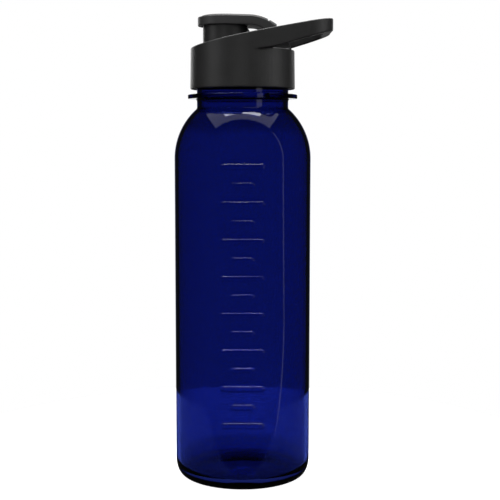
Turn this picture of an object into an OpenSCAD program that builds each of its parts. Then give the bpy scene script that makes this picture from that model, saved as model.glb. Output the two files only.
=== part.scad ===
// Rigid sports bottle: a clear blown bottle, a screw cap with a carry loop,
// and a flip cover over the drinking spout.
// Millimetres. +Z is up, the bottle's axis is the Z axis, and the base stands on Z = 0.
// The spout is on the -X side, the carry loop is on the +X side, and the flat front panel faces -Y.

/* [Bottle] */
// Outside radius of the round body
body_r = 36.5; // [35:0.5:38]
// Height where the straight wall ends and the shoulder begins
shoulder_z = 172; // [165:1:176]
// Radius of the shoulder's arc
shoulder_arc = 35.5; // [35:0.5:36]
// Wall thickness of the body
wall = 2; // [1.6:0.1:2.4]
// Radius of the flat ring that the bottle stands on
foot_r = 32; // [31:0.5:33]
// Height of the rounded heel
heel_h = 8.6; // [7:0.2:10]
// Radius where the push-up under the base begins
punt_r = 25.5; // [24:0.5:27]
// Height of the push-up at its centre
punt_h = 7; // [5:0.5:8]
// Distance of the flat front panel from the axis
panel_y = 29.6; // [29:0.2:31]

/* [Neck] */
// Outside radius of the neck
neck_r = 24.4; // [24.2:0.1:24.5]
// Radius of the neck's bore
mouth_r = 21.8; // [21.6:0.1:22]
// Height of the neck's rim
rim_z = 226.5; // [226:0.1:226.5]
// Outside radius of the collar ring under the cap
collar_r = 29.2; // [28:0.2:30]
// Lift of the thread in one turn
pitch = 6; // [5.8:0.1:6.2]

/* [Cap] */
// Outside radius of the cap's skirt at its lower edge
cap_r = 27.85; // [27.8:0.05:28]
// Height of the skirt's lower edge
cap_z = 208.7; // [208:0.1:209.5]
// Height of the cap's flat deck
deck_z = 229; // [228.9:0.1:229.2]
// Reach of the carry loop from the axis
loop_reach = 47.1; // [46:0.1:50]
// Rise of the loop's top edge for each millimetre along it
loop_slope = 0.205; // [0.19:0.005:0.21]

/* [Spout and cover] */
// Distance of the spout's axis from the bottle's axis
spout_x = -9.5; // [-9.6:0.1:-9.4]
// Outside radius of the spout
spout_r = 11.5; // [11.3:0.1:11.6]
// Height of the spout's rim
spout_z = 244.3; // [244.1:0.1:244.4]
// Outside radius of the cover's round part
cover_r = 14.2; // [14:0.1:14.4]
// Height of the hinge pin
hinge_z = 236.3; // [236.2:0.1:236.5]
// Distance of the hinge pin from the axis
hinge_x = 19.5; // [19.3:0.1:19.7]

/* [Hidden] */
$fn = 96;
eps = 0.01;

// Bottle
heel_w = body_r - foot_r;
arc_x = body_r - shoulder_arc;
inner_arc = shoulder_arc - wall;
shoulder_end_r = neck_r + 1.1;
shoulder_end_z = shoulder_z + sqrt(pow(shoulder_arc, 2) - pow(shoulder_end_r - arc_x, 2));
neck_start_z = shoulder_end_z + 0.5;
bore_start_z = shoulder_z + sqrt(pow(inner_arc, 2) - pow(mouth_r - arc_x, 2));
floor_t = 3.2;
floor_heel = 6;
collar_z = 203.6;
collar_t = 2.3;
collar_gap_r = 25.6;
collar_gap_from = 0.5;
collar_gap_to = 27;
bead_r = neck_r + 0.5;
arc_step = 3;

// Front panel: flat above panel_bend_z, and an arc of panel_arc below it, so that it runs out at the heel
panel_bend_z = 90;
panel_arc = 590;
panel_top_lean = 0.007;
panel_inner_shift = wall;
panel_half_w = 40;

// Raised graduation marks in the panel
mark_count = 15;
mark_long = 22;
mark_short = 12;
mark_h = 3;
mark_raise = 0.6;
mark_from_z = 34;
mark_step = 9.6;

// Thread
thread_steps = 40;
ridge_wide = 2.6;
ridge_narrow = 1.4;
bottle_crest_r = 25.7;
bottle_thread_z = 212.5;
bottle_turns = 1.6;
cap_bore_r = 26.05;
cap_crest_r = 24.75;
thread_play = 0.2;
cap_turns = 1.4;
thread_drop = (ridge_wide + ridge_narrow) / 2 * 0.92 + thread_play;
ridge_embed = 0.4;
fade_deg = 24;

// Cap
deck_t = 2;
ceiling_z = deck_z - deck_t;
cap_top_r = cap_r - 0.3;
plug_ring_r = 21.3;
plug_ring_t = 1.1;
plug_ring_h = 3;
spout_bore = spout_r - 2;
rib_half = 2.5;

// Carry loop: its plan is the cap's circle blended into two end circles, and its side is a sloping band
loop_z0 = 235.9;
loop_end_r = 14;
loop_end_y = 10.5;
loop_side_t = 3;
loop_end_t = 4.6;
loop_bend = 0.0004;
loop_under_slope = 0.3;
loop_under_arc = 75;
loop_under_x = 1;
loop_tip_z = 238.3;
side_sink = 0.12;

// Hinge
pin_r = 1.25;
ear_fit = 0.02;
barrel_fit = 0.08;
barrel_r = 3.4;
arm_half = 9;
ear_gap = 0.3;
ear_t = 3;

// Cover
cover_z = 241.8;
cover_top = 246.4;
pad_raise = 0.8;
pad_inset = 2;
pad_end_x = 13;
step_from_x = 13.8;
step_to_x = 17.6;
cover_wall = 1.7;
cover_ceiling = 245.4;
arm_top_x = 3;
arm_top_arc = 24;
arm_end_x = 20.5;
arm_under_x = 4;
arm_under_arc = 12;
boss_r = 4;
boss_h = 2.8;

// Seals
gasket_play = 0.05;
gasket_out_r = 25.6;
seal_flange_r = 11.9;
seal_flange_t = 0.95;
seal_top_r = 9.2;
seal_tip_r = 7.9;
seal_h = 2.8;

// Points of an arc about (cx, cy) from angle a0 to a1
function arc(cx, cy, r, a0, a1, n) =
    [for (i = [0:n]) let (a = a0 + (a1 - a0) * i / n) [cx + r * cos(a), cy + r * sin(a)]];

// Points of the heel's quarter ellipse, from the foot up to the wall
function heel(w, h, n) = [for (i = [0:n]) let (a = 90 * i / n) [body_r - w + w * sin(a), h - h * cos(a)]];

// Points of the push-up's dome, from its centre out to its edge
function dome(lift, n) =
    [for (i = [0:n]) let (s = i / n) [punt_r * s, lift + punt_h * (1 - s * s) * (1 - 0.35 * s * s)]];

// Distance of the panel's surface from the axis at height z
function panel_at(z) = z > panel_bend_z
    ? panel_y + panel_top_lean * (z - panel_bend_z)
    : panel_y + panel_arc - sqrt(pow(panel_arc, 2) - pow(panel_bend_z - z, 2));

// Angle at which a line touches both the cap's circle and a loop's end circle
function tangent_angle(ra, rb, cx, cy) = atan2(cy, cx) + acos((ra - rb) / norm([cx, cy]));

// --- Bottle -------------------------------------------------------------------------------------

module bottle_outside() {
    shoulder = arc(arc_x, shoulder_z, shoulder_arc, 0,
                   acos((shoulder_end_r - arc_x) / shoulder_arc), 16);
    rotate_extrude()
        polygon(concat(dome(0, 12), heel(heel_w, heel_h, 9), shoulder,
                       [[neck_r, neck_start_z], [neck_r, rim_z], [0, rim_z]]));
}

module bottle_inside() {
    shoulder = arc(arc_x, shoulder_z, inner_arc, 0,
                   acos((mouth_r - arc_x) / inner_arc), 16);
    inner_heel = [for (i = [0:8]) let (a = 90 * i / 8)
        [body_r - wall - floor_heel + floor_heel * sin(a), floor_t + floor_heel * (1 - cos(a))]];
    rotate_extrude()
        polygon(concat(dome(floor_t, 12), inner_heel, shoulder,
                       [[mouth_r, rim_z + 1], [0, rim_z + 1]]));
}

// Everything in front of the panel's surface, moved back by shift
module panel_cut(shift, top) {
    side = concat([for (i = [0:18]) let (z = panel_bend_z * i / 18) [-panel_at(z) + shift, z]],
                  [[-panel_at(top) + shift, top], [-60, top], [-60, 0]]);
    rotate([90, 0, 90])
        translate([0, 0, -panel_half_w])
        linear_extrude(2 * panel_half_w) polygon(side);
}

// One raised mark: a bar with round ends, standing out of the panel
module mark(z, length) {
    half = length / 2 - mark_h / 2;
    y = -panel_at(z);
    translate([0, y + 0.3, z]) rotate([90, 0, 0]) linear_extrude(0.3 + mark_raise) {
        square([2 * half, mark_h], center = true);
        for (side = [-1, 1]) translate([side * half, 0]) circle(d = mark_h);
    }
}

module marks() {
    for (i = [0:mark_count - 1])
        mark(mark_from_z + i * mark_step, i % 2 == 0 ? mark_long : mark_short);
}

// A ridge that follows a helix: its root is at ra and its crest at rb, and it fades in and out
module thread_ridge(ra, rb, z0, turns) {
    n = round(thread_steps * turns);
    total = turns * 360;
    rings = [for (i = [0:n])
        let (a = total * i / n,
             z = z0 + pitch * a / 360,
             fade = min(1, min(a, total - a) / fade_deg),
             crest = ra + (rb - ra) * (0.45 + 0.55 * fade),
             narrow = ridge_wide + (ridge_narrow - ridge_wide) * (crest - ra) / (rb - ra))
        [for (p = [[ra, -ridge_wide / 2], [crest, -narrow / 2], [crest, narrow / 2], [ra, ridge_wide / 2]])
            [p[0] * cos(a), p[0] * sin(a), z + p[1]]]];
    points = [for (ring = rings) for (p = ring) p];
    out = rb > ra;
    sides = [for (i = [0:n - 1]) for (j = [0:3])
        let (a = 4 * i + j, b = 4 * i + (j + 1) % 4, c = b + 4, d = a + 4)
        out ? [a, b, c, d] : [a, d, c, b]];
    first = [0, 1, 2, 3];
    last = [4 * n + 3, 4 * n + 2, 4 * n + 1, 4 * n];
    ends = out ? [[3, 2, 1, 0], [4 * n, 4 * n + 1, 4 * n + 2, 4 * n + 3]] : [first, last];
    polyhedron(points, concat(sides, ends), convexity = 6);
}

// The collar ring, with a stretch at the front where it is only a low band
module collar() {
    translate([0, 0, collar_z]) difference() {
        cylinder(r = collar_r, h = collar_t);
        translate([0, 0, -1]) linear_extrude(collar_t + 2) difference() {
            polygon([[0, 0], for (a = [collar_gap_from:(collar_gap_to - collar_gap_from) / 4:collar_gap_to])
                60 * [sin(a), -cos(a)]]);
            circle(r = collar_gap_r);
        }
    }
}

module bottle_body() {
    color("mediumblue", 0.6) {
        difference() {
            union() {
                difference() {
                    bottle_outside();
                    panel_cut(0, shoulder_end_z);
                }
                marks();
                collar();
                translate([0, 0, collar_z - 1]) cylinder(r1 = neck_r, r2 = bead_r, h = 1 + eps);
            }
            difference() {
                bottle_inside();
                panel_cut(panel_inner_shift, bore_start_z);
            }
        }
        thread_ridge(neck_r - ridge_embed, bottle_crest_r, bottle_thread_z, bottle_turns);
    }
}

// --- Cap ----------------------------------------------------------------------------------------

// The loop's plan, taken in by t at its sides and by end_t at its end
module loop_plan(t, end_t) {
    ra = cap_top_r - t;
    rb = loop_end_r - t;
    cx = loop_reach - loop_end_r - (end_t - t);
    a = tangent_angle(ra, rb, cx, loop_end_y);
    pa = (ra - side_sink) * [cos(a), sin(a)];
    pb = [cx, loop_end_y] + (rb - side_sink) * [cos(a), sin(a)];
    circle(r = ra);
    polygon([pa, pb, [cx + rb - side_sink, loop_end_y], [cx + rb - side_sink, -loop_end_y],
             [pb[0], -pb[1]], [pa[0], -pa[1]]]);
    for (side = [-1, 1]) translate([cx, side * loop_end_y]) circle(r = rb);
}

// The band seen from the side: a sloping top edge, and a lower edge that curves off the deck
module loop_side() {
    bend = atan(loop_under_slope);
    bend_x = loop_under_x + loop_under_arc * sin(bend);
    bend_z = loop_tip_z - loop_under_slope * (loop_reach - bend_x);
    start_z = bend_z - loop_under_arc * (1 - cos(bend));
    under = [for (i = [0:6]) let (a = bend * i / 6)
        [loop_under_x + loop_under_arc * sin(a), start_z + loop_under_arc * (1 - cos(a))]];
    top = [for (x = [60:-6:0]) [x, loop_z0 + loop_slope * x - loop_bend * x * x]];
    polygon(concat([[-40, deck_z - 1], [loop_under_x, deck_z - 1]], under,
                   [[60, loop_tip_z + loop_under_slope * (60 - loop_reach)]],
                   top, [[-40, loop_z0 - loop_slope * 40]]));
}

module loop_band() {
    intersection() {
        translate([0, 0, deck_z - 4]) linear_extrude(30) difference() {
            loop_plan(0, 0);
            loop_plan(loop_side_t, loop_end_t);
        }
        rotate([90, 0, 0]) translate([0, 0, -40]) linear_extrude(80) loop_side();
    }
}

// One ear of the hinge, with its bore for the pin
module ear(side) {
    y = side * (arm_half + ear_gap + ear_t / 2);
    translate([hinge_x, y + ear_t / 2, 0]) rotate([90, 0, 0]) difference() {
        linear_extrude(ear_t) {
            translate([0, hinge_z]) circle(r = barrel_r);
            polygon([[-barrel_r, hinge_z], [barrel_r, hinge_z],
                     [barrel_r + 2.6, deck_z - eps], [-barrel_r - 2.6, deck_z - eps]]);
        }
        translate([0, hinge_z, -1]) cylinder(r = pin_r + ear_fit, h = ear_t + 2);
    }
}

module spout_rib() {
    rotate([90, 0, 0]) translate([0, 0, -rib_half]) linear_extrude(2 * rib_half)
        polygon([[spout_x + spout_bore + 0.5, deck_z - eps], [hinge_x - 9.5, deck_z - eps],
                 [spout_x + spout_r + 0.6, cover_z - 0.8], [spout_x + spout_bore + 0.5, cover_z - 0.8]]);
}

module screw_cap() {
    color("dimgray") {
        difference() {
            union() {
                translate([0, 0, cap_z]) cylinder(r1 = cap_r, r2 = cap_top_r, h = deck_z - cap_z);
                loop_band();
                translate([spout_x, 0, deck_z - eps]) cylinder(r = spout_r, h = spout_z - deck_z);
                spout_rib();
                for (side = [-1, 1]) ear(side);
            }
            difference() {
                translate([0, 0, cap_z - 1]) cylinder(r = cap_bore_r, h = ceiling_z - cap_z + 1);
                translate([0, 0, ceiling_z - plug_ring_h]) difference() {
                    cylinder(r = plug_ring_r, h = plug_ring_h + 1);
                    translate([0, 0, -1]) cylinder(r = plug_ring_r - plug_ring_t, h = plug_ring_h + 3);
                }
            }
            translate([spout_x, 0, ceiling_z - 1]) cylinder(r = spout_bore, h = 40);
        }
        thread_ridge(cap_bore_r + ridge_embed, cap_crest_r, bottle_thread_z - thread_drop, cap_turns);
    }
}

module cap_gasket() {
    color("gainsboro")
    translate([0, 0, rim_z + gasket_play]) difference() {
        cylinder(r = gasket_out_r, h = ceiling_z - rim_z - 2 * gasket_play);
        translate([0, 0, -1]) cylinder(r = plug_ring_r + gasket_play, h = 6);
    }
}

// --- Cover --------------------------------------------------------------------------------------

// The cover's plan: the round part and the arm back to the hinge, taken in by t
module cover_plan(t) {
    r = cover_r - t;
    h = arm_half - t;
    near = hinge_x - spout_x - barrel_r - 1;
    a = atan2(h, near) + acos((r - side_sink) / norm([near, h]));
    start = (r - side_sink) * [cos(a), sin(a)];
    translate([spout_x, 0]) {
        circle(r = r);
        polygon([start, [near, h], [near + 12, h], [near + 12, -h], [near, -h], [start[0], -start[1]]]);
    }
}

// Points along the curved top of the cover's arm, raised by lift, between two distances from the axis
function arm_top(lift, from_x, to_x, n) =
    arc(arm_top_x, cover_top - arm_top_arc, arm_top_arc + lift,
        90 - asin((from_x - arm_top_x) / arm_top_arc), 90 - asin((to_x - arm_top_x) / arm_top_arc), n);

// Points along the cover's whole top, from its flat round part down the arm
function over(lift, end_x) = concat([[-40, cover_top + lift]], arm_top(lift, arm_top_x, end_x, 10));

function reversed(list) = [for (i = [len(list) - 1:-1:0]) list[i]];

// The cover seen from the side
module cover_side() {
    reach = asin((hinge_x - barrel_r - 1.6 - arm_under_x) / arm_under_arc);
    polygon(concat([[-40, cover_z]], over(0, arm_end_x), [[hinge_x, hinge_z]],
                   arc(arm_under_x, cover_z - arm_under_arc, arm_under_arc, 90 - reach, 90, 8)));
}

// The pad on top of the cover and the step behind it, as bands that sink into it
module pad_side() {
    polygon(concat(over(pad_raise, pad_end_x), reversed(over(-1, pad_end_x))));
    polygon(concat(arm_top(pad_raise, step_from_x, step_to_x, 4),
                   reversed(arm_top(-1, step_from_x, step_to_x, 4))));
}

module cover_solid() {
    intersection() {
        translate([0, 0, cover_z - 20]) linear_extrude(40) cover_plan(0);
        rotate([90, 0, 0]) translate([0, 0, -30]) linear_extrude(60) cover_side();
    }
    intersection() {
        translate([0, 0, cover_z - 20]) linear_extrude(40) cover_plan(pad_inset);
        rotate([90, 0, 0]) translate([0, 0, -30]) linear_extrude(60) pad_side();
    }
    translate([hinge_x, arm_half, hinge_z]) rotate([90, 0, 0]) cylinder(r = barrel_r, h = 2 * arm_half);
}

module spout_cover() {
    color("dimgray")
    difference() {
        cover_solid();
        difference() {
            translate([spout_x, 0, cover_z - 1])
                cylinder(r = cover_r - cover_wall, h = cover_ceiling - cover_z + 1);
            translate([spout_x, 0, cover_ceiling - boss_h]) cylinder(r = boss_r, h = boss_h + 1);
        }
        translate([hinge_x, arm_half + 1, hinge_z]) rotate([90, 0, 0])
            cylinder(r = pin_r + barrel_fit, h = 2 * arm_half + 2);
    }
}

module spout_seal() {
    color("gainsboro")
    translate([spout_x, 0, 0]) difference() {
        union() {
            translate([0, 0, cover_ceiling - seal_flange_t]) cylinder(r = seal_flange_r, h = seal_flange_t);
            translate([0, 0, spout_z - seal_h]) cylinder(r1 = seal_tip_r, r2 = seal_top_r, h = seal_h + 0.3);
        }
        translate([0, 0, cover_ceiling - boss_h - 0.1]) cylinder(r = boss_r + ear_fit, h = boss_h + 1);
    }
}

module hinge_pin() {
    color("silver")
    translate([hinge_x, arm_half + ear_gap + ear_t, hinge_z]) rotate([90, 0, 0])
        cylinder(r = pin_r, h = 2 * (arm_half + ear_gap + ear_t));
}

bottle_body();
screw_cap();
cap_gasket();
spout_cover();
spout_seal();
hinge_pin();
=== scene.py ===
"""Looks for the sports bottle: a clear blue bottle, a black screw cap with a carry loop, and a cover."""
import math

import bmesh
import bpy
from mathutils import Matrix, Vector

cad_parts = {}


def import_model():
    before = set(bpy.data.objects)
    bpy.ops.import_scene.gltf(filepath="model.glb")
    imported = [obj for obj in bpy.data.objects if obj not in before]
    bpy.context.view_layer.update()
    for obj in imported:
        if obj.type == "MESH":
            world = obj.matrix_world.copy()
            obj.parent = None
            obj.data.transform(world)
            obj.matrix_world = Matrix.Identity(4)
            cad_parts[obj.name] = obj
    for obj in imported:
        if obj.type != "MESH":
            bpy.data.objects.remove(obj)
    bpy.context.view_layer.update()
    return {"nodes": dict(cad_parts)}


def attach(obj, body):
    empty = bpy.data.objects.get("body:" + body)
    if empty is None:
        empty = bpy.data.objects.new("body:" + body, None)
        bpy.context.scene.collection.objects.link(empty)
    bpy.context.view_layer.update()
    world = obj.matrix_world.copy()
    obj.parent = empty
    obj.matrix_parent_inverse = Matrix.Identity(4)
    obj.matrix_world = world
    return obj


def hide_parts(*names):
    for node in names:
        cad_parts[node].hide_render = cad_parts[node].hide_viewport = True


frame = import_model()

MM = 0.001

# Bottle, in millimetres, as in the CAD
BODY_R, WALL = 36.5, 2.0
SHOULDER_Z, SHOULDER_ARC, ARC_X = 172.0, 35.5, 1.0
FOOT_R, HEEL_H = 32.0, 8.6
PUNT_R, PUNT_H, FLOOR_T, FLOOR_HEEL = 25.5, 7.0, 3.2, 6.0
PUNT_FLATTEN = 0.35
NECK_R, MOUTH_R, RIM_Z = 24.4, 21.8, 226.5
COLLAR_Z, COLLAR_T, COLLAR_R = 203.6, 2.3, 29.2
GAP_R, GAP_FROM, GAP_TO = 25.6, 0.5, 27.0
GAP_DEPTH = 0.98  # just short of 1, so that the collar's rows never fall on each other
PANEL_Y, PANEL_BEND_Z, PANEL_ARC, PANEL_LEAN = 29.6, 90.0, 590.0, 0.007
PANEL_TOP, PANEL_REACH = 200, 28
CREASE = 0.9
MARKS, MARK_FROM, MARK_STEP = 15, 34.0, 9.6
MARK_LONG, MARK_SHORT, MARK_H, MARK_RAISE = 22.0, 12.0, 3.0, 0.6
THREAD_Z, PITCH, TURNS, THREAD_H, THREAD_W = 212.5, 6.0, 1.6, 1.3, 2.6
THREAD_FADE, THREAD_FROM = 24, 209
CEILING_Z = 227.0

# Spout, cover and hinge
SPOUT_X, SPOUT_Z, COVER_CEILING = -9.5, 244.3, 245.4
HINGE_X, HINGE_Z, PIN_R, PIN_HALF = 19.5, 236.3, 1.25, 12.3

# A ray that has crossed no more faces than this has turned back inside the wall, and sees dim surroundings
BOTH_FACES_OF_ONE_WALL = 2.5

# Painted shade in a ring round the neck and in one at the heel, as the share of the tint that it takes away
NECK_PAINTED_SHADE, HEEL_PAINTED_SHADE = 0.24, 0.42

# Strength of the studio's surroundings where they are only mirrored, and straight above
DIM, OVERHEAD = 0.012, 0.05

# The floor: its radius, and the two distances between which its own light falls to half, in metres
FLOOR_R, GLOW_FROM, GLOW_TO = 0.2, 0.040, 0.075


# --- Materials ------------------------------------------------------------------------------------

def new_material(name):
    mat = bpy.data.materials.new(name)
    mat.use_nodes = True
    tree = mat.node_tree
    tree.nodes.clear()
    out = tree.nodes.new("ShaderNodeOutputMaterial")
    bsdf = tree.nodes.new("ShaderNodeBsdfPrincipled")
    tree.links.new(bsdf.outputs["BSDF"], out.inputs["Surface"])
    return mat, tree, bsdf, out


def noise(tree, scale, detail=3.0, stretch=(1, 1, 1)):
    coord = tree.nodes.new("ShaderNodeTexCoord")
    mapping = tree.nodes.new("ShaderNodeMapping")
    mapping.inputs["Scale"].default_value = stretch
    tex = tree.nodes.new("ShaderNodeTexNoise")
    tex.inputs["Scale"].default_value = scale
    tex.inputs["Detail"].default_value = detail
    tree.links.new(coord.outputs["Object"], mapping.inputs["Vector"])
    tree.links.new(mapping.outputs["Vector"], tex.inputs["Vector"])
    return tex.outputs["Fac"]


def ramp(tree, source, low, high, start=0.3, end=0.7):
    node = tree.nodes.new("ShaderNodeValToRGB")
    node.color_ramp.elements[0].position = start
    node.color_ramp.elements[1].position = end
    node.color_ramp.elements[0].color = (*low, 1)
    node.color_ramp.elements[1].color = (*high, 1)
    tree.links.new(source, node.inputs["Fac"])
    return node.outputs["Color"]


def spread(tree, source, low, high):
    node = tree.nodes.new("ShaderNodeMapRange")
    node.inputs["To Min"].default_value = low
    node.inputs["To Max"].default_value = high
    tree.links.new(source, node.inputs["Value"])
    return node.outputs["Result"]


def bump(tree, bsdf, source, distance, strength=1.0, below=None):
    node = tree.nodes.new("ShaderNodeBump")
    node.inputs["Strength"].default_value = strength
    node.inputs["Distance"].default_value = distance
    tree.links.new(source, node.inputs["Height"])
    if below is not None:
        tree.links.new(below, node.inputs["Normal"])
    tree.links.new(node.outputs["Normal"], bsdf.inputs["Normal"])
    return node.outputs["Normal"]


def smooth_step(tree, source, start, end, low=0.0, high=1.0):
    node = tree.nodes.new("ShaderNodeMapRange")
    node.interpolation_type = "SMOOTHSTEP"
    for key, value in (("From Min", start), ("From Max", end), ("To Min", low), ("To Max", high)):
        node.inputs[key].default_value = value
    tree.links.new(source, node.inputs["Value"])
    return node.outputs["Result"]


def math_node(tree, operation, *sources):
    node = tree.nodes.new("ShaderNodeMath")
    node.operation = operation
    for socket, source in zip(node.inputs, sources):
        if isinstance(source, (int, float)):
            socket.default_value = source
        else:
            tree.links.new(source, socket)
    return node.outputs[0]


def painted_shade_rings(tree):
    """The share of the tint that stays: painted shade takes some away in a ring round the neck and in one at
    the heel.
    """
    coord = tree.nodes.new("ShaderNodeTexCoord")
    split = tree.nodes.new("ShaderNodeSeparateXYZ")
    tree.links.new(coord.outputs["Object"], split.inputs[0])
    height = split.outputs["Z"]
    band = math_node(tree, "MULTIPLY", smooth_step(tree, height, 0.184, 0.191),
                     smooth_step(tree, height, 0.1995, 0.1975))
    neck = math_node(tree, "SUBTRACT", 1.0, math_node(tree, "MULTIPLY", band, NECK_PAINTED_SHADE))
    foot = math_node(tree, "MULTIPLY", smooth_step(tree, height, 0.0135, 0.0075), HEEL_PAINTED_SHADE)
    heel = math_node(tree, "SUBTRACT", 1.0, foot)
    return math_node(tree, "MULTIPLY", neck, heel)


def clear_blue():
    mat, tree, bsdf, out = new_material("clear_blue")
    bsdf.inputs["Transmission Weight"].default_value = 1.0
    bsdf.inputs["IOR"].default_value = 1.5
    wave = noise(tree, 22, 2.0, (1, 1, 0.35))
    tint = ramp(tree, wave, (0.071, 0.105, 0.364), (0.077, 0.111, 0.376))
    scaled = tree.nodes.new("ShaderNodeVectorMath")
    scaled.operation = "SCALE"
    tree.links.new(tint, scaled.inputs[0])
    # The tint is scaled down here by painted shade round the neck and at the heel
    tree.links.new(painted_shade_rings(tree), scaled.inputs["Scale"])
    tree.links.new(scaled.outputs[0], bsdf.inputs["Base Color"])
    tree.links.new(spread(tree, noise(tree, 60), 0.012, 0.03), bsdf.inputs["Roughness"])
    bump(tree, bsdf, wave, 0.00012, 0.35)
    absorb = tree.nodes.new("ShaderNodeVolumeAbsorption")
    absorb.inputs["Color"].default_value = (0.118, 0.222, 0.645, 1)
    absorb.inputs["Density"].default_value = 250.0
    tree.links.new(absorb.outputs["Volume"], out.inputs["Volume"])
    return mat


def moulded_black(name, low, high, rough):
    mat, tree, bsdf, _ = new_material(name)
    tone = ramp(tree, noise(tree, 90, 4), (low,) * 3, (high, high, high * 1.03))
    tree.links.new(tone, bsdf.inputs["Base Color"])
    tree.links.new(spread(tree, noise(tree, 45, 3), rough - 0.04, rough + 0.05), bsdf.inputs["Roughness"])
    bsdf.inputs["IOR"].default_value = 1.49
    soft = bump(tree, bsdf, noise(tree, 60, 2), 0.0002, 0.12)
    bump(tree, bsdf, noise(tree, 1500, 2), 0.00006, 0.7, soft)
    return mat


def silicone(name):
    mat, tree, bsdf, _ = new_material(name)
    tone = ramp(tree, noise(tree, 120), (0.72, 0.74, 0.76), (0.82, 0.84, 0.86))
    tree.links.new(tone, bsdf.inputs["Base Color"])
    tree.links.new(spread(tree, noise(tree, 300), 0.5, 0.65), bsdf.inputs["Roughness"])
    bsdf.inputs["Subsurface Weight"].default_value = 0.2
    bsdf.inputs["Subsurface Radius"].default_value = (0.002, 0.002, 0.002)
    bump(tree, bsdf, noise(tree, 1800, 2), 0.00002, 0.5)
    return mat


def turned_steel():
    mat, tree, bsdf, _ = new_material("turned_steel")
    lines = noise(tree, 300, 4, (1, 14, 1))
    tree.links.new(ramp(tree, lines, (0.5, 0.5, 0.51), (0.68, 0.68, 0.69)), bsdf.inputs["Base Color"])
    tree.links.new(spread(tree, lines, 0.22, 0.4), bsdf.inputs["Roughness"])
    bsdf.inputs["Metallic"].default_value = 1.0
    bump(tree, bsdf, lines, 0.00001, 0.6)
    return mat


# --- Meshes ---------------------------------------------------------------------------------------

def add_object(name, mesh, mat, body, slot, *nodes):
    obj = bpy.data.objects.new(name, mesh)
    bpy.context.scene.collection.objects.link(obj)
    mesh.materials.clear()
    mesh.materials.append(mat)
    mesh.shade_smooth()
    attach(obj, body)
    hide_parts(*nodes)
    return obj


def grid_mesh(name, rows, first=None, last=None, ring=True):
    """Joins rows of points, in millimetres, into a closed skin: with ring, or with poles first and last."""
    verts = [p for row in rows for p in row]
    n, m = len(rows), len(rows[0])
    faces = []
    for i in range(n if ring else n - 1):
        a, b = i * m, (i + 1) % n * m
        faces += [(a + j, a + (j + 1) % m, b + (j + 1) % m, b + j) for j in range(m)]
    for pole, start in ((first, 0), (last, (n - 1) * m)):
        if pole is not None:
            verts.append(pole)
            faces += [(len(verts) - 1, start + j, start + (j + 1) % m) for j in range(m)]
    mesh = bpy.data.meshes.new(name)
    mesh.from_pydata([Vector(v) * MM for v in verts], [], faces)
    bm = bmesh.new()
    bm.from_mesh(mesh)
    bmesh.ops.recalc_face_normals(bm, faces=bm.faces)
    bm.to_mesh(mesh)
    bm.free()
    return mesh


def arc(cx, cz, r, a0, a1, n):
    return [(cx + r * math.cos(math.radians(a0 + (a1 - a0) * i / n)),
             cz + r * math.sin(math.radians(a0 + (a1 - a0) * i / n))) for i in range(n + 1)]


def span(a, b, step):
    n = max(1, round(abs(b - a) / step))
    return [a + (b - a) * i / n for i in range(n + 1)]


def ease(t):
    t = min(1.0, max(0.0, t))
    return t * t * (3 - 2 * t)


def smooth_min(a, b, k):
    h = max(k - abs(a - b), 0.0) / k
    return min(a, b) - h * h * k / 4


def panel_at(z):
    if z > PANEL_BEND_Z:
        return PANEL_Y + PANEL_LEAN * (z - PANEL_BEND_Z)
    return PANEL_Y + PANEL_ARC - math.sqrt(PANEL_ARC ** 2 - (PANEL_BEND_Z - z) ** 2)


def mark_at(x, z):
    """How far a raised mark stands out of the panel, from 0 to 1."""
    i = round((z - MARK_FROM) / MARK_STEP)
    if not 0 <= i < MARKS:
        return 0.0
    half = (MARK_SHORT if i % 2 else MARK_LONG) / 2 - MARK_H / 2
    d = math.hypot(max(abs(x) - half, 0.0), z - MARK_FROM - i * MARK_STEP)
    return ease((MARK_H / 2 + 0.15 - d) / 0.55)


def thread_at(turn, z):
    """How far the neck's thread stands out, from 0 to 1, at an angle in degrees from +X."""
    best = 0.0
    for a in (turn, turn + 360):
        if a <= TURNS * 360:
            fade = min(1.0, a / THREAD_FADE, (TURNS * 360 - a) / THREAD_FADE)
            d = abs(z - THREAD_Z - PITCH * a / 360)
            best = max(best, fade * ease((THREAD_W / 2 + 0.1 - d) / 0.75))
    return best


def dome(lift, n):
    """The push-up under the base, from its centre out to its edge."""
    shares = [i / n for i in range(n + 1)]
    return [(PUNT_R * s, lift + PUNT_H * (1 - s ** 2) * (1 - PUNT_FLATTEN * s ** 2)) for s in shares]


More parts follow.
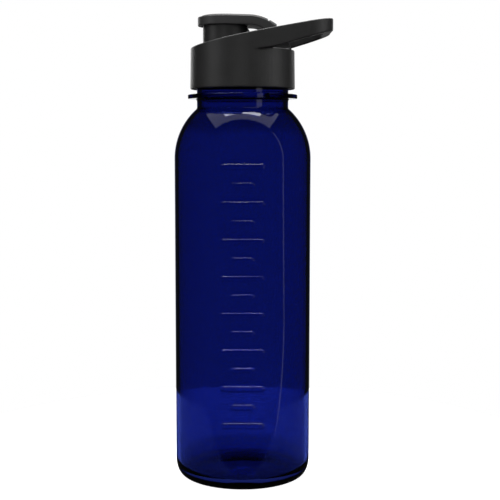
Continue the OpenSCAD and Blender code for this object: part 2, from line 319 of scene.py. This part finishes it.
def bottle_rows():
    heel_w = BODY_R - FOOT_R
    outer = dome(0, 16)[1:]
    outer += [(PUNT_R + 1.2, 0.0), (FOOT_R - 2.0, 0.0)]
    outer += [(BODY_R - heel_w + heel_w * math.sin(a), HEEL_H - HEEL_H * math.cos(a))
              for a in [math.radians(90 * i / 14) for i in range(15)]]
    zs = span(HEEL_H, MARK_FROM - 3, 0.9)[1:]
    off_centre = (0.6, 1.05, 1.25, 1.42, 1.6, 1.85)
    across = [-d for d in reversed(off_centre)] + [0] + list(off_centre)
    for i in range(MARKS):
        c = MARK_FROM + i * MARK_STEP
        zs += [c + d for d in across]
        if i < MARKS - 1:
            zs += span(c + 2.6, c + MARK_STEP - 2.6, 0.9)
    zs += span(MARK_FROM + (MARKS - 1) * MARK_STEP + 2.6, SHOULDER_Z, 0.9)[:-1]
    outer += [(BODY_R, z) for z in zs]
    end_r = NECK_R + 1.1
    end_turn = math.degrees(math.acos((end_r - ARC_X) / SHOULDER_ARC))
    outer += arc(ARC_X, SHOULDER_Z, SHOULDER_ARC, 0, end_turn, 44)
    outer += [(NECK_R + 0.75, 198.0), (NECK_R + 0.4, 198.25), (NECK_R + 0.12, 198.6), (NECK_R, 199.2)]
    outer += [(NECK_R, z) for z in (200.5, 202.0, 202.5)]
    outer += [(NECK_R + 0.12, 202.9), (NECK_R + 0.35, 203.2), (NECK_R + 0.5, 203.5)]
    top = COLLAR_Z + COLLAR_T
    outer += [(NECK_R + 0.9, COLLAR_Z), (GAP_R, COLLAR_Z), (27.4, COLLAR_Z), (COLLAR_R - 0.6, COLLAR_Z)]
    outer += arc(COLLAR_R - 0.5, COLLAR_Z + 0.5, 0.5, -70, 0, 4)
    outer += arc(COLLAR_R - 0.5, top - 0.5, 0.5, 0, 70, 4)
    outer += [(COLLAR_R - 0.6, top), (27.4, top), (GAP_R, top)]
    outer += [(NECK_R + 0.6, top), (NECK_R + 0.15, top + 0.2)]
    outer += [(NECK_R, z) for z in [top + 0.7, 208.0] + span(209.5, 225.4, 0.3)]
    rim = (NECK_R - MOUTH_R) / 2
    outer += [(NECK_R - 0.1, RIM_Z - 0.6), (NECK_R - 0.3, RIM_Z - 0.2), (NECK_R - 0.7, RIM_Z)]
    inner_arc = SHOULDER_ARC - WALL
    bore_z = SHOULDER_Z + math.sqrt(inner_arc ** 2 - (MOUTH_R - ARC_X) ** 2)
    inner = [(MOUTH_R + rim * 0.5, RIM_Z), (MOUTH_R + 0.3, RIM_Z - 0.1), (MOUTH_R, RIM_Z - 0.5)]
    inner += [(MOUTH_R, z) for z in (222, 216, 210, 205, 201, bore_z + 0.4)]
    bore_turn = math.degrees(math.acos((MOUTH_R - ARC_X) / inner_arc))
    inner += arc(ARC_X, SHOULDER_Z, inner_arc, bore_turn, 0, 34)
    inner += [(BODY_R - WALL, z) for z in span(SHOULDER_Z, FLOOR_T + FLOOR_HEEL, 2.2)[1:]]
    inner += arc(BODY_R - WALL - FLOOR_HEEL, FLOOR_T + FLOOR_HEEL, FLOOR_HEEL, 0, -90, 12)[1:]
    inner += dome(FLOOR_T, 14)[:0:-1]
    return outer, inner


def bottle_mesh():
    angles = span(-30, 30, 0.9) + span(30, 54, 1.4)[1:]
    angles += span(54, 306, 2.6)[1:-1] + span(-54, -30, 1.4)[:-1]
    outer, inner = bottle_rows()
    rows = []
    for side, profile in ((0, outer), (1, inner)):
        for rho, z in profile:
            row = []
            for phi in angles:
                c, s = math.cos(math.radians(phi)), math.sin(math.radians(phi))
                r = rho
                if z < PANEL_TOP and c > 0.3 and rho > PANEL_REACH:
                    flat = panel_at(z) - side * WALL
                    r = smooth_min(rho, flat / c, CREASE)
                    if side == 0 and r < rho:
                        r += MARK_RAISE * mark_at(r * s, z) / c
                if COLLAR_Z - 0.1 < z < COLLAR_Z + COLLAR_T + 0.1 and rho > GAP_R:
                    inside = min(phi - GAP_FROM, GAP_TO - phi)
                    r = rho - (rho - GAP_R) * GAP_DEPTH * min(1.0, max(0.0, inside / 0.9 + 0.5))
                if side == 0 and z > THREAD_FROM:
                    r += THREAD_H * thread_at((phi - 90) % 360, z)
                row.append((r * s, -r * c, z))
            rows.append(row)
    return grid_mesh("bottle", rows, (0, 0, PUNT_H), (0, 0, PUNT_H + FLOOR_T), ring=False)


def revolved(profile, centre=(0, 0), count=96, along_y=False):
    """A ring or a pin: profile is a closed loop of (radius, height), turned about a line through centre."""
    rows = []
    for r, h in profile:
        row = []
        for j in range(count):
            a = 2 * math.pi * j / count
            if along_y:
                row.append((centre[0] + r * math.cos(a), h, centre[1] + r * math.sin(a)))
            else:
                row.append((centre[0] + r * math.cos(a), centre[1] + r * math.sin(a), h))
        rows.append(row)
    return rows


def moulded(node, name, voxel, rounds):
    """The CAD piece as a moulding: one even skin with its edges rounded."""
    source = frame["nodes"][node]
    temp = bpy.data.objects.new(name + "_form", source.data.copy())
    bpy.context.scene.collection.objects.link(temp)
    weld = temp.modifiers.new("weld", "WELD")
    weld.merge_threshold = 0.000002
    remesh = temp.modifiers.new("skin", "REMESH")
    remesh.mode = "VOXEL"
    remesh.voxel_size = voxel * MM
    soften = temp.modifiers.new("soften", "SMOOTH")
    soften.factor = 0.5
    soften.iterations = rounds
    bpy.context.view_layer.update()
    evaluated = temp.evaluated_get(bpy.context.evaluated_depsgraph_get())
    mesh = bpy.data.meshes.new_from_object(evaluated)
    mesh.name = name
    bpy.data.objects.remove(temp)
    return mesh


black = moulded_black("black_plastic", 0.031, 0.038, 0.46)
# The cover's black is lighter than the cap's: painted light standing in for the light falling on its front
cover_black_painted_lighter = moulded_black("cover_plastic", 0.060, 0.069, 0.50)
seal_white = silicone("silicone")

bottle = add_object("bottle", bottle_mesh(), clear_blue(), "bottle", "clear_blue", "bottle_body")
add_object("cap", moulded("screw_cap", "cap", 0.32, 12), black, "cap", "black_plastic", "screw_cap")
add_object("cover", moulded("spout_cover", "cover", 0.26, 9), cover_black_painted_lighter, "cover", "cover_plastic",
           "spout_cover")

low, high = RIM_Z + 0.05, CEILING_Z - 0.05
# The top edges are cut back, so that they clear the rounded corners inside the cap
gasket = [(21.75, low + 0.06), (21.8, low), (22.4, low), (22.6, low + 0.06), (24.4, low + 0.06), (24.6, low),
          (25.45, low), (25.58, low + 0.12), (25.58, high - 0.14), (25.4, high - 0.06), (24.8, high - 0.01),
          (24.6, high - 0.01), (24.4, high - 0.06), (22.6, high - 0.06), (22.4, high - 0.01),
          (22.2, high - 0.03), (21.85, high - 0.15), (21.75, high - 0.24)]
add_object("seal_ring", grid_mesh("seal_ring", revolved(gasket)), seal_white, "seal_ring", "silicone",
           "cap_gasket")

base = COVER_CEILING
plug = [(4.05, base - 0.02), (11.7, base - 0.02), (11.88, base - 0.2), (11.88, base - 0.75)]
plug += [(11.6, base - 0.93), (9.5, base - 0.95)]
plug += [(9.2, SPOUT_Z - 0.1), (9.1, SPOUT_Z - 0.8), (8.6, SPOUT_Z - 1.1), (8.5, SPOUT_Z - 1.6)]
plug += [(8.2, SPOUT_Z - 2.4), (7.8, SPOUT_Z - 2.75), (4.2, SPOUT_Z - 2.78), (4.05, SPOUT_Z - 2.6)]
plug_mesh = grid_mesh("spout_plug", revolved(plug, (SPOUT_X, 0), 80))
add_object("spout_plug", plug_mesh, seal_white, "cover", "seal_silicone", "spout_seal")

half = PIN_HALF
pin = [(0.5, -half), (0.95, -half + 0.06), (1.2, -half + 0.3), (PIN_R, -half + 0.6), (PIN_R, -half + 3.2)]
pin += [(PIN_R, 0)]
pin += [(PIN_R, half - 3.2), (PIN_R, half - 0.6), (1.2, half - 0.3), (0.95, half - 0.06), (0.5, half)]
pin_rows = revolved(pin, (HINGE_X, HINGE_Z), 40, True)
pin_mesh = grid_mesh("pin", pin_rows, (HINGE_X, -half, HINGE_Z), (HINGE_X, half, HINGE_Z), ring=False)
add_object("pin", pin_mesh, turned_steel(), "cap", "pin_steel", "hinge_pin")


# --- Stage ----------------------------------------------------------------------------------------

def floor():
    mat, tree, bsdf, _ = new_material("floor")
    tone = ramp(tree, noise(tree, 3), (0.93, 0.93, 0.93), (0.95, 0.95, 0.95))
    tree.links.new(tone, bsdf.inputs["Base Color"])
    bsdf.inputs["Roughness"].default_value = 0.9
    bsdf.inputs["Emission Color"].default_value = (1, 1, 1, 1)
    coord = tree.nodes.new("ShaderNodeTexCoord")
    reach = tree.nodes.new("ShaderNodeVectorMath")
    reach.operation = "LENGTH"
    tree.links.new(coord.outputs["Object"], reach.inputs[0])
    tree.links.new(smooth_step(tree, reach.outputs["Value"], GLOW_FROM, GLOW_TO, 1.0, 0.5),
                   bsdf.inputs["Emission Strength"])
    mesh = bpy.data.meshes.new("floor")
    bm = bmesh.new()
    bmesh.ops.create_circle(bm, cap_ends=True, radius=FLOOR_R, segments=128)
    bm.to_mesh(mesh)
    bm.free()
    mesh.materials.append(mat)
    obj = bpy.data.objects.new("floor", mesh)
    obj.location.z = -0.00005
    obj.visible_glossy = False
    obj.visible_diffuse = False
    bpy.context.scene.collection.objects.link(obj)


def softbox(name, place, target, width, height, power, spared=None):
    """An area light. It leaves the spared object alone, as a flag on a real set would."""
    light = bpy.data.lights.new(name, "AREA")
    light.shape = "RECTANGLE"
    light.size, light.size_y, light.energy = width, height, power
    obj = bpy.data.objects.new(name, light)
    obj.location = place
    obj.rotation_euler = (Vector(target) - Vector(place)).to_track_quat("-Z", "Y").to_euler()
    bpy.context.scene.collection.objects.link(obj)
    if spared is not None:
        flagged = bpy.data.collections.new(name + "_flag")
        flagged.objects.link(spared)
        obj.light_linking.receiver_collection = flagged
        flagged.collection_objects[0].light_linking.link_state = "EXCLUDE"


def world():
    """White where it is seen directly or through the bottle, and behind. Dim where it is only mirrored."""
    scene_world = bpy.data.worlds.new("studio")
    bpy.context.scene.world = scene_world
    scene_world.use_nodes = True
    tree = scene_world.node_tree
    tree.nodes.clear()
    link, add = tree.links.new, tree.nodes.new
    out, back = add("ShaderNodeOutputWorld"), add("ShaderNodeBackground")
    coord, split, path = add("ShaderNodeTexCoord"), add("ShaderNodeSeparateXYZ"), add("ShaderNodeLightPath")
    link(coord.outputs["Generated"], split.inputs[0])
    behind = smooth_step(tree, split.outputs["Y"], 0.95, 0.999, DIM, 1.0)
    high = smooth_step(tree, split.outputs["Z"], 0.35, 0.8, 1.0, OVERHEAD)
    walls = math_node(tree, "GREATER_THAN", path.outputs["Transmission Depth"], BOTH_FACES_OF_ONE_WALL)
    through = math_node(tree, "MULTIPLY", path.outputs["Is Transmission Ray"], walls)
    seen = math_node(tree, "MULTIPLY", through, high)
    direct = math_node(tree, "MAXIMUM", seen, path.outputs["Is Camera Ray"])
    total = math_node(tree, "MAXIMUM", direct, behind)
    back.inputs["Color"].default_value = (1, 1, 1, 1)
    link(total, back.inputs["Strength"])
    link(back.outputs[0], out.inputs["Surface"])


floor()
world()
# Each light: its name, its place, the point it faces, its width and height, its power and what it spares
for light in (
    ("left_box", (-0.72, -0.34, 0.42), (0, 0, 0.23), 0.40, 0.55, 1.15, bottle),
    ("right_box", (0.74, -0.22, 0.42), (0, 0, 0.23), 0.40, 0.55, 1.2, bottle),
    ("front_box", (-0.10, -1.0, 0.36), (0, 0, 0.23), 0.55, 0.45, 0.85, bottle),
    ("left_rim", (-0.34, 0.68, 0.30), (0, 0, 0.22), 0.20, 0.50, 1.0, bottle),
    ("right_rim", (0.36, 0.66, 0.30), (0, 0, 0.22), 0.20, 0.50, 0.4, bottle),
    ("neck_box", (0.53, -0.60, 0.245), (0, 0, 0.21), 0.20, 0.77, 0.30),
    ("top_box", (0.0, -0.10, 0.95), (0, -0.05, 0.19), 1.3, 1.0, 3.2),
    ("floor_wash", (0.0, 0.25, 1.1), (0, 0, 0.0), 0.8, 0.8, 14),
):
    softbox(*light)

# --- Camera ---------------------------------------------------------------------------------------

CAMERA_DOWN = 5.99  # degrees below level
camera = bpy.data.cameras.new("camera")
camera.sensor_width = 36.0
camera.lens = 76.18
camera.shift_x = 0.0148
view = bpy.data.objects.new("camera", camera)
view.location = (0.0, -0.570, 0.1825)
view.rotation_euler = (math.radians(90 - CAMERA_DOWN), 0.0, 0.0)
bpy.context.scene.collection.objects.link(view)
bpy.context.scene.camera = view
bpy.context.scene.view_settings.view_transform = "Standard"
